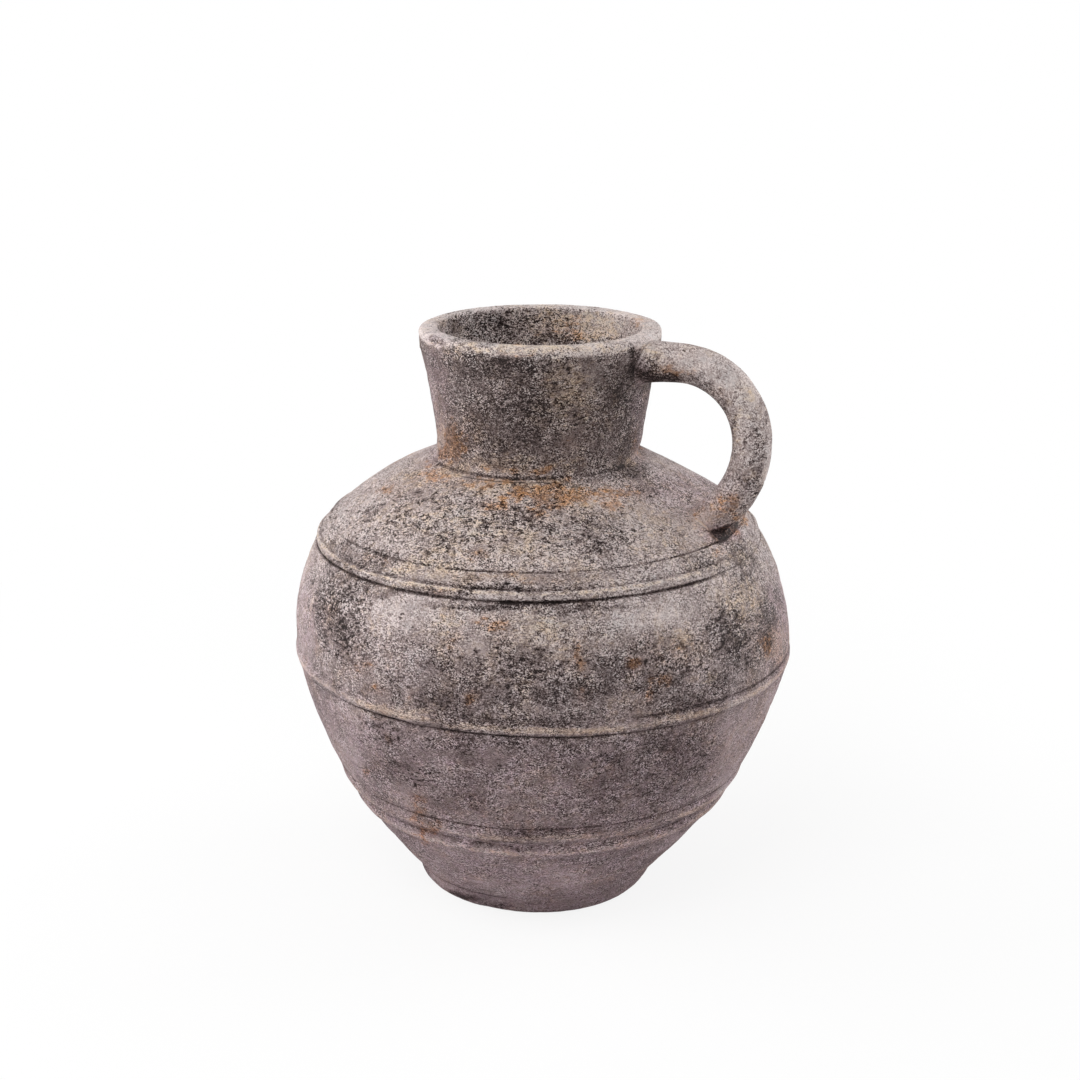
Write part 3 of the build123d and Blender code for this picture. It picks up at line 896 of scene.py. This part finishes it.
def weather_and_painted_light(points, normals, dark, proud, level=None):
    """Named values of the finish and of the painted shade and highlights at each point, from 0 to 1, which
    the material mixes.
    """
    view = facing(points, normals)
    front = smoothstep(view, *FRONT)
    back = 1 - 0.75 * front
    height = points[:, 2]
    radial = points[:, :2] / from_axis(points)[:, None]
    inside = smoothstep(-np.sum(radial * normals[:, :2], axis=1), *INWARD) * (level is None)
    across, down = in_picture(points)
    seen = smoothstep(view, *SEEN) * (1 - inside * smoothstep(down, *MOUTH_ROWS))
    # Each pixel is moved a little, so that the patches have ragged edges
    pixel = (across + uneven("patch_across", points) + uneven("rags_across", points),
             down + uneven("patch_down", points) + uneven("rags_down", points), seen)
    fields = {name: uneven(name, points) for name in ("cloud", "blot", "drip")}
    mottled = 0.8 + uneven("mottle", points)
    worn_and_painted_light = {}
    for kind, (places, field, sign, low, high, most) in KINDS.items():
        amount = painted(places, *pixel) + back * smoothstep(sign * fields[field], low, high) * most
        if kind in MOTTLED:
            amount = amount * mottled
        if kind == "cream":
            amount = amount + 0.45 * proud
        worn_and_painted_light[kind] = np.clip(amount, 0, 1)
    smooth = painted(SMOOTH, *pixel)
    ragged = height + uneven("tone_edge", points) + uneven("tone_rags", points)
    tone = eased(ragged, TONE) * (1 - inside) + INSIDE_TONE * inside if level is None else level
    tone = tone + uneven("tone_vein" if level is None else "rod_vein", points)
    tone += uneven("tone_ring", points) * (1 - smoothstep(height, *TONE_RINGS_END))
    # Crests are lighter: a painted highlight
    worn_and_painted_light["tone"] = tone + 0.12 * proud
    # Painted shade in the pressed lines, the handle's creases, the listed dark places and the hollow under
    # the handle's foot
    worn_and_painted_light["shade_pits_and_crack"] = np.clip(dark + painted(DEEP_SHADE, *pixel) + 0.95 * foot_shadow(points) * front, 0, 1)
    worn_and_painted_light["grit"] = (eased(height, GRIT) * (1 + 0.45 * inside)
                    * (1 - 0.4 * np.clip(worn_and_painted_light["pale"] + smooth, 0, 1)) * (1 + 0.25 * worn_and_painted_light["pits"]))
    worn_and_painted_light["mauve"] = np.clip(eased(height, MAUVE) + painted(MAUVE_SHEEN_AND_SHADE, *pixel), 0, 1)
    return worn_and_painted_light


def weathered_with_painted_light(points, normals, dark, proud, level=None):
    """Finish of a piece, with its painted shade and highlights, before the jar's lean, and how deep its
    worn pits are, from 0 to 1.
    """
    worn_and_painted_light = weather_and_painted_light(warped(points), normals, dark, proud, level)
    pit = pitting(points, worn_and_painted_light["pits"])
    worn_and_painted_light["shade_pits_and_crack"] = np.maximum(worn_and_painted_light["shade_pits_and_crack"], 0.7 * pit)
    return worn_and_painted_light, pit


def placed(name, data):
    """Object of a mesh, lamp or camera, in the scene."""
    item = bpy.data.objects.new(name, data)
    bpy.context.scene.collection.objects.link(item)
    return item


def add_mesh(name, points, faces, finish):
    """Blender object of a piece, with its finish and painted shade and highlights as named attributes of
    its points.
    """
    mesh = bpy.data.meshes.new(name)
    mesh.from_pydata((points * MM).tolist(), [], faces)
    mesh.validate()
    for key in FINISH_AND_PAINTED_LIGHT:
        attribute = mesh.attributes.new(key, "FLOAT", "POINT")
        attribute.data.foreach_set("value", finish[key].astype(np.float32))
    mesh.shade_smooth()
    mesh.set_sharp_from_angle(angle=SHARP_ANGLE)
    return placed(name, mesh)


def ring_faces(rows, count, closed):
    """Quads between rows of points that each go round the piece, and the caps of an open one."""
    this = np.arange(rows if closed else rows - 1)[:, None] * count
    step = np.arange(count)[None, :]
    onward = (step + 1) % count
    above = (this + count) % (rows * count)
    quads = np.stack((this + step, this + onward, above + onward, above + step), axis=-1)
    faces = quads.reshape(-1, 4).tolist()
    if not closed:
        faces += [list(range(count))[::-1], list(range((rows - 1) * count, rows * count))]
    return faces


def turn(node):
    """Turned piece with its relief, pressed lines, pits, wear and painted shade and highlights."""
    angles = np.linspace(0, 2 * math.pi, SEGMENTS, endpoint=False)
    closed = stretches[node][0].rows[0, 0] > WELD
    parts = [(stretch.rows[:-1], stretch.normals[:-1], np.full(len(stretch.rows) - 1, not stretch.hidden))
             for stretch in stretches[node]]
    rows, normals, visible = (np.concatenate(part)[0 if closed else 1:] for part in zip(*parts))
    count = len(rows)
    cosine, sine = np.tile(np.cos(angles), count), np.tile(np.sin(angles), count)
    columns = (*rows.T, *normals.T, standing_proud(node, rows), visible)
    radius, height, out, up, proud, visible = (np.repeat(column, SEGMENTS) for column in columns)
    points = np.column_stack((radius * cosine, radius * sine, height))
    directions = np.column_stack((out * cosine, out * sine, up))
    depth, dark = pressed(radius, height, points)
    crest = smoothstep(proud / max(np.max(proud), 1.0), *CREST)
    if node == "shoulder_cordon":
        faded = by_column(WORN_BEAD, points, 0.0)
        depth += faded * np.maximum(proud - BAND_PROUD, 0)
        crest *= 1 - faded
    worn_and_painted_light, pit = weathered_with_painted_light(points, directions, dark, crest)
    shift = relief(points, node in STRIPS) - depth - PIT_DEPTH * pit
    if node == "shoulder":
        smear, edge = flap(warped(points), directions)
        shift += FLAP_RISE * smear
        # Painted highlight along the flap's edge, which is also worn cream
        worn_and_painted_light["cream"] = np.maximum(worn_and_painted_light["cream"], 0.8 * edge)
        worn_and_painted_light["pale"] = np.maximum(worn_and_painted_light["pale"], edge)
        worn_and_painted_light["tone"] = worn_and_painted_light["tone"] + 0.2 * edge
    if node == "neck_collar":
        away = np.hypot(radius - NECK_ROOT[0], height - NECK_ROOT[1])
        crack = line_strength(ROOT_CRACK, points) * smoothstep(away, *CRACK_REACH) * broken(points)
        shift -= CRACK_DEPTH * crack
        worn_and_painted_light["shade_pits_and_crack"] = np.clip(worn_and_painted_light["shade_pits_and_crack"] + 1.1 * crack, 0, 1)
    shift = shift * visible
    moved = warped(points + directions * shift[:, None])
    return add_mesh(node + "_clay", moved, ring_faces(count, SEGMENTS, closed), worn_and_painted_light)


# Materials

def colour(red, green, blue):
    """Linear colour from 8-bit screen values."""
    values = []
    for value in (red, green, blue):
        share = value / 255
        values.append(share / 12.92 if share <= 0.04045 else ((share + 0.055) / 1.055) ** 2.4)
    return (*values, 1.0)


# Greys of the finish from the darkest hollow to the palest grain, each a fifth of the way up
GREYS = ((34, 27, 26), (67, 56, 54), (105, 92, 90), (144, 130, 127), (183, 170, 166), (222, 211, 207))
CREAM_TINT = (1.0, 0.92, 0.74, 1.0)
RUST_TINT = (1.0, 0.64, 0.35, 1.0)
COOL_TINT = (0.93, 0.98, 1.0, 1.0)
TAN_TINT = (1.0, 0.95, 0.84, 1.0)
MAUVE_TINT = (0.985, 0.865, 0.985, 1.0)
# Noises of the finish: repeats to the metre, detail, roughness and distortion
FINE = (1450.0, 2.0, 0.7)
MIDDLE = (420.0, 2.0, 0.6)
BLOTCH = (130.0, 3.0, 0.6)
CLUMP = (95.0, 2.0, 0.6)
FLAKE = (300.0, 4.0, 0.65)
WORM = (560.0, 1.5, 0.5, 0.4)
HUE = (240.0, 2.0, 0.6)
WIDE_HUE = (45.0, 2.0)
GRAIN_CELLS = 1200.0
# How far the flakes and worms are drawn out
STROKE = (0.6, 0.6, 1.5)
# How far the flakes move the edges of each kind
CRISP = {"cream": 0.4, "soot_and_shade": -0.4, "rust": 0.3}
BUMP = {"Strength": 0.35, "Distance": 0.0003}
ROUGHNESS = (0.74, 0.58)
SPECULAR = 0.12


class Nodes:
    """Emptied node tree of a material or world, with short ways to add the nodes that it uses."""

    def __init__(self, owner):
        owner.use_nodes = True
        self.tree = owner.node_tree
        self.tree.nodes.clear()

    def put(self, value, socket):
        """A value set on a socket, or an output linked to it."""
        if isinstance(value, bpy.types.NodeSocket):
            self.tree.links.new(value, socket)
        else:
            socket.default_value = value

    def add(self, kind, inputs=(), **settings):
        """A node with its settings and inputs."""
        node = self.tree.nodes.new(kind)
        for key, value in settings.items():
            setattr(node, key, value)
        for key, value in dict(inputs).items():
            self.put(value, node.inputs[key])
        return node

    def attribute(self, name):
        return self.add("ShaderNodeAttribute", attribute_name=name).outputs["Fac"]

    def math(self, operation, first, second=0.0, third=0.0):
        node = self.add("ShaderNodeMath", {0: first, 1: second, 2: third}, operation=operation)
        return node.outputs[0]

    def noise(self, vector, scale, detail, roughness=0.55, distortion=0.0):
        """Noise spread to about -1 to 1."""
        node = self.add("ShaderNodeTexNoise", {
            "Vector": vector, "Scale": scale, "Detail": detail, "Roughness": roughness,
            "Distortion": distortion})
        return self.spread(node.outputs["Fac"], 0.32, 0.68, -1.0, 1.0)

    def cells(self, vector, scale):
        """A random value for each grain, from -1 to 1."""
        node = self.add("ShaderNodeTexVoronoi", {"Vector": vector, "Scale": scale})
        split = self.add("ShaderNodeSeparateColor", {"Color": node.outputs["Color"]})
        return self.spread(split.outputs["Red"], 0.0, 1.0, -1.0, 1.0)

    def weighted(self, start, *terms):
        """A starting value with every term added by its weight."""
        for value, weight in terms:
            start = self.math("MULTIPLY_ADD", value, weight, start)
        return start

    def flakes(self, name, flaky, crisp):
        """An amount of the finish, half of it soft and half broken into crisp flakes."""
        amount = self.attribute(name)
        broken = self.spread(self.weighted(amount, (flaky, crisp)), 0.42, 0.58, 0.0, 1.0, clamp=True)
        return self.weighted(self.math("MULTIPLY", broken, 0.55), (amount, 0.45))

    def spread(self, value, low, high, to_low, to_high, clamp=False):
        node = self.add("ShaderNodeMapRange", {
            "Value": value, "From Min": low, "From Max": high, "To Min": to_low, "To Max": to_high},
            clamp=clamp)
        return node.outputs["Result"]

    def tint(self, share, first, second):
        """The first colour, multiplied by a share of the second."""
        node = self.add("ShaderNodeMix", data_type="RGBA", blend_type="MULTIPLY")
        sockets = {socket.identifier: socket for socket in node.inputs}
        for key, value in (("Factor_Float", share), ("A_Color", first), ("B_Color", second)):
            self.put(value, sockets[key])
        return next(item for item in node.outputs if item.identifier == "Result_Color")

    def ramp(self, value, *stops):
        node = self.add("ShaderNodeValToRGB", {"Fac": value})
        elements = node.color_ramp.elements
        while len(elements) < len(stops):
            elements.new(0.5)
        for element, (position, shade) in zip(elements, stops):
            element.position = position
            element.color = shade
        return node.outputs["Color"]

    def mixed(self, share, first, second):
        """Two surfaces or backgrounds, mixed by a share of the second."""
        inputs = {"Fac": share, 1: first.outputs[0], 2: second.outputs[0]}
        return self.add("ShaderNodeMixShader", inputs)


def aged_clay(slot_name, along=(1.0, 1.0, 1.25), contrast=1.0):
    """Worn finish on granular clay, with painted shade and highlights: a level of grey broken by grains and
    worms, then tinted.
    """
    material = bpy.data.materials.new(slot_name)
    shader = Nodes(material)
    place = shader.add("ShaderNodeTexCoord").outputs["Object"]
    drawn = shader.add("ShaderNodeMapping", {"Vector": place, "Scale": along}).outputs["Vector"]
    stroked = shader.add("ShaderNodeMapping", {"Vector": place, "Scale": STROKE}).outputs["Vector"]
    middle = shader.noise(drawn, *MIDDLE)
    blotch = shader.noise(place, *BLOTCH)
    fine = shader.noise(drawn, *FINE)
    crumb = shader.weighted(0.0, (shader.cells(drawn, GRAIN_CELLS), 0.55), (fine, 0.65))
    clump = shader.spread(shader.noise(place, *CLUMP), -0.8, 0.8, 0.26, 0.8, clamp=True)
    flaky = shader.noise(stroked, *FLAKE)
    cream, soot_and_shade, rust = (shader.flakes(name, flaky, crisp) for name, crisp in CRISP.items())
    texture = shader.weighted(0.0, (crumb, clump), (middle, 0.03), (blotch, 0.07))
    strength = shader.math("MULTIPLY", shader.attribute("grit"), contrast)
    level = shader.weighted(shader.attribute("tone"), (texture, strength))
    darker = shader.weighted(0.28, (crumb, -0.1), (middle, -0.1))
    # Soot and painted shade darken the grey; pale patches and painted highlights lighten it
    level = shader.weighted(level, (shader.math("MULTIPLY", soot_and_shade, -1.0), darker),
                            (shader.attribute("pale"), 0.16), (cream, 0.09), (rust, -0.06))
    gate = shader.weighted(1.05, (shader.attribute("pits"), -0.95))
    worm = shader.math("SUBTRACT", shader.noise(stroked, *WORM), gate)
    worm = shader.spread(worm, 0.0, 0.25, 0.0, 1.0, clamp=True)
    # Painted shade, worn pits and the crack at the neck darken the grey
    level = shader.weighted(level, (worm, -0.5), (shader.attribute("shade_pits_and_crack"), -0.6))
    shade = shader.ramp(level, *((step / 5, colour(*grey)) for step, grey in enumerate(GREYS)))
    share = shader.weighted(0.75, (middle, 0.3), (blotch, 0.3))
    hue = shader.weighted(0.0, (shader.noise(place, *HUE), 0.6), (shader.noise(place, *WIDE_HUE), 0.6))
    cool = shader.weighted(shader.spread(hue, 0.25, 1.0, 0.0, 0.9, clamp=True), (soot_and_shade, 0.35))
    # The mauve tint carries painted sheen at the edges and the painted shadow's tint at the handle's foot
    tints = ((cream, CREAM_TINT), (rust, RUST_TINT), (cool, COOL_TINT),
             (shader.spread(hue, -0.1, -0.9, 0.0, 1.0, clamp=True), TAN_TINT),
             (shader.attribute("mauve"), MAUVE_TINT))
    for amount, tint in tints:
        amount = shader.spread(shader.math("MULTIPLY", amount, share), 0.0, 1.0, 0.0, 1.0, clamp=True)
        shade = shader.tint(amount, shade, tint)
    bump = shader.add("ShaderNodeBump", {"Height": crumb, **BUMP})
    surface = shader.add("ShaderNodeBsdfPrincipled", {
        "Base Color": shade, "Roughness": shader.spread(crumb, -1.0, 1.0, *ROUGHNESS),
        "Normal": bump.outputs["Normal"], "Specular IOR Level": SPECULAR})
    shader.add("ShaderNodeOutputMaterial", {"Surface": surface.outputs["BSDF"]})
    return material


# Handle and its two luted ends, from the box of the handle's node

RETURN_RADIUS = 56.0
ROD_AROUND = 128
ROD_STEP = 0.8
LUTE_ROWS = 22
LUTE_SINK = 1.6
LUTE_SHORT = 1.5
WALL_STEP = 0.25
WALL_STEPS = 240
UPPER_FLARE_WIDE = 17.0
UPPER_FLARE_HIGH = 14.5
UPPER_SAG = 2.8
LOWER_SPREAD = 1.4
HANDLE_LEAN = -2.2
CREASE_ROWS = 4

rod_low, rod_high = (np.array(corner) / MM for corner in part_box("handle"))
ROD_RADIUS = rod_high[1]
ROD_START = rod_low[0]
HANDLE_Z = rod_high[2] - ROD_RADIUS
REACH = rod_high[0] - ROD_RADIUS
BOW_RADIUS = REACH - ROD_START
BEND_Z = HANDLE_Z - BOW_RADIUS
ROD_TURN = math.asin((BEND_Z - rod_low[2]) / (RETURN_RADIUS + ROD_RADIUS))


def bend(middle, radius, start, turned):
    """Rings of points across one bend of the rod, each with the outward directions of its points."""
    angles = np.linspace(0, 2 * math.pi, ROD_AROUND, endpoint=False)
    found = []
    for angle in np.linspace(0, turned, int(radius * turned / ROD_STEP)) + start:
        side = np.array((math.sin(angle), 0.0, math.cos(angle)))
        out = np.cos(angles)[:, None] * side + np.sin(angles)[:, None] * (0.0, 1.0, 0.0)
        found.append(((middle, 0.0, BEND_Z) + radius * side + ROD_RADIUS * out, out))
    return found


def rod_sections():
    """Sections of the rod along its two bends, from the upper lute to the lower one."""
    bow = bend(ROD_START, BOW_RADIUS, 0.0, math.pi / 2)
    return bow + bend(REACH - RETURN_RADIUS, RETURN_RADIUS, math.pi / 2, ROD_TURN)[1:]


def settled(points):
    """Points of the handle, which keeps a lean of its own, before the jar's lean and tilt."""
    moved = points + (HANDLE_LEAN - eased(points[:, 2], LEAN))[:, None] * RIGHT
    moved[:, 2] -= rise(points)
    return moved


def on_outside(points, run):
    """Where each point, moved along a run, meets the jar's outside."""
    reach = np.zeros(len(points))
    for _ in range(WALL_STEPS):
        now = points + reach[:, None] * run
        wall = np.interp(now[:, 2], OUTER_HEIGHTS, OUTER_RADII)
        reach += np.where(np.hypot(now[:, 0], now[:, 1]) > wall, WALL_STEP, 0.0)
    return points + reach[:, None] * run


def lute_sections(ring, directions, foot_ring, run):
    """Sections of a luted end: the rod's last ring flares into its foot on the wall."""
    run = np.array(run)
    straight = on_outside(ring, run) - LUTE_SHORT * run
    foot = on_outside(foot_ring, run) + LUTE_SINK * run
    found = []
    for share in np.linspace(0, 1, LUTE_ROWS):
        points = (1 - share) ** 2 * ring + 2 * share * (1 - share) * straight + share ** 2 * foot
        found.append((points, directions))
    return found


def tube(name, sections, foot=None):
    """Solid tube through its sections, with the finish of the jar and painted shade in the crease at its
    foot.
    """
    points = np.vstack([ring for ring, _ in sections])
    directions = np.vstack([out for _, out in sections])
    dark = np.zeros(len(points))
    if foot is not None:
        rows_off = np.abs(np.repeat(np.arange(len(sections)), ROD_AROUND) - foot)
        breaks = np.clip(0.4 + uneven("crease_break", points), 0, 1)
        # Painted shade: rows next to the foot are darkened, where the rod meets the wall
        dark = 0.8 * breaks * (1 - smoothstep(rows_off, 0, CREASE_ROWS))
    level = np.full(len(points), HANDLE_TONE)
    worn_and_painted_light, pit = weathered_with_painted_light(points, directions, dark, np.zeros(len(points)), level)
    shift = uneven("rod_lump", points) + uneven("rod_dent", points)
    shift += uneven("rod_crumb", points) - ROD_PIT_DEPTH * pit
    moved = warped(points + directions * shift[:, None])
    return add_mesh(name, moved, ring_faces(len(sections), ROD_AROUND, False), worn_and_painted_light)


def handle_pieces():
    """The rod and its two luted ends."""
    rod = rod_sections()
    first, out = rod[0]
    flare = np.column_stack((first[:, 0], out[:, 1] * UPPER_FLARE_WIDE,
                             HANDLE_Z - UPPER_SAG + out[:, 2] * UPPER_FLARE_HIGH))
    upper = lute_sections(settled(first), out, settled(flare), (-1.0, 0.0, 0.0))
    final, out = rod[-1]
    spread = final + out * LOWER_SPREAD
    down = (-math.sin(ROD_TURN), 0.0, -math.cos(ROD_TURN))
    lower = lute_sections(settled(final), out, settled(spread), down)
    return {
        "handle": tube("handle_clay", [(settled(ring), out) for ring, out in rod]),
        "handle_upper_lute": tube("handle_upper_lute_clay", upper[::-1], foot=0),
        "handle_lower_lute": tube("handle_lower_lute_clay", lower, foot=LUTE_ROWS - 1),
    }


# Floor, light and camera

FLOOR_RADIUS = 3.0
FLOOR_SIDES = 96
FLOOR_FADE = {"From Min": 0.25, "From Max": 0.75, "To Min": 0.85}
FLOOR_MATT = (0.75, 0.75, 0.75, 1.0)
FLOOR_PALE = (0.9, 0.9, 0.9, 1.0)
WHITE = (1.0, 1.0, 1.0, 1.0)
AMBIENT = 0.45
# Square lamps: place from the picture (right, towards the viewer, up), side and level
LAMPS = {
    "key": (-500, 900, 1300, 900, 0.4),
    "left_side": (-1200, -100, 600, 900, 0.65),
    "right_side": (1200, -400, 600, 900, 0.6),
}
LAMP_TARGET = np.array((0.0, 0.0, 170.0)) * MM


def add_floor():
    """Pale floor that keeps the jar's shadow and fades to white around it."""
    mesh = bpy.data.meshes.new("floor")
    shape = bmesh.new()
    bmesh.ops.create_circle(shape, cap_ends=True, radius=FLOOR_RADIUS, segments=FLOOR_SIDES)
    shape.to_mesh(mesh)
    shape.free()
    material = bpy.data.materials.new("pale_floor")
    nodes = Nodes(material)
    matt = nodes.add("ShaderNodeBsdfDiffuse", {"Color": FLOOR_MATT})
    pale = nodes.add("ShaderNodeBsdfDiffuse", {"Color": FLOOR_PALE})
    place = nodes.add("ShaderNodeTexCoord").outputs["Object"]
    length = nodes.add("ShaderNodeVectorMath", {0: place}, operation="LENGTH").outputs["Value"]
    fade = nodes.add("ShaderNodeMapRange", {"Value": length, **FLOOR_FADE}, interpolation_type="SMOOTHSTEP")
    shown = nodes.mixed(fade.outputs["Result"], pale, nodes.add("ShaderNodeEmission"))
    path = nodes.add("ShaderNodeLightPath").outputs
    both = nodes.mixed(path["Is Camera Ray"], matt, shown)
    nodes.add("ShaderNodeOutputMaterial", {"Surface": both.outputs[0]})
    mesh.materials.append(material)
    floor = placed("floor", mesh)


def light_world():
    """Even studio light from all round, in front of a white background."""
    world = bpy.data.worlds.new("studio")
    nodes = Nodes(world)
    fill = nodes.add("ShaderNodeBackground", {"Color": WHITE, "Strength": AMBIENT})
    white = nodes.add("ShaderNodeBackground", {"Color": WHITE})
    path = nodes.add("ShaderNodeLightPath").outputs
    seen = nodes.math("MAXIMUM", path["Is Camera Ray"], path["Is Glossy Ray"])
    nodes.add("ShaderNodeOutputWorld", {"Surface": nodes.mixed(seen, fill, white).outputs[0]})
    bpy.context.scene.world = world


def add_softbox(name, across, towards, up, side, level):
    """Square lamp, as bright on the jar at any distance as its level says."""
    place = (RIGHT * across - AWAY * towards + np.array((0.0, 0.0, up))) * MM
    lamp = bpy.data.lights.new(name, "AREA")
    lamp.size = side * MM
    lamp.energy = level * math.pi ** 2 * float(np.sum((place - LAMP_TARGET) ** 2))
    holder = placed(name, lamp)
    holder.location = place
    holder.rotation_euler = Vector(LAMP_TARGET - place).to_track_quat("-Z", "Y").to_euler()


def add_camera():
    """Camera at the photograph's place and angle."""
    data = bpy.data.cameras.new("camera")
    data.sensor_width = SENSOR_WIDTH
    data.lens = FOCAL_PIXELS / IMAGE_SIDE * SENSOR_WIDTH
    data.clip_start = CLIP_START
    camera = placed("camera", data)
    turned = (Matrix.Rotation(HANDLE_TURN, 4, "Z")
              @ Matrix.Rotation(math.pi / 2 - CAMERA_PITCH, 4, "X")
              @ Matrix.Rotation(CAMERA_ROLL, 4, "Z"))
    camera.matrix_world = Matrix.Translation(Vector(CAMERA_PLACE * MM)) @ turned
    bpy.context.scene.camera = camera


def main():
    """Dress every node and set the stage."""
    materials = {
        "foot": aged_clay("foot_clay", along=(1.0, 1.0, 1.8), contrast=0.7),
        "body": aged_clay("body_clay"),
        "cordons": aged_clay("cordon_clay", along=(0.9, 0.9, 1.5)),
        "neck": aged_clay("neck_clay"),
        "rim": aged_clay("rim_clay"),
        "handle": aged_clay("handle_clay", along=(1.0, 1.0, 1.0), contrast=0.8),
    }
    pieces = {node: turn(node) for node in TURNED}
    handle = handle_pieces()
    slots = {**TURNED, **dict.fromkeys(handle, "handle")}
    for node, piece in {**pieces, **handle}.items():
        piece.data.materials.append(materials[slots[node]])
        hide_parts(node)
        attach(piece, "root")
    add_floor()
    light_world()
    for name, values in LAMPS.items():
        add_softbox(name, *values)
    add_camera()
    bpy.context.scene.view_settings.view_transform = "Standard"


main()
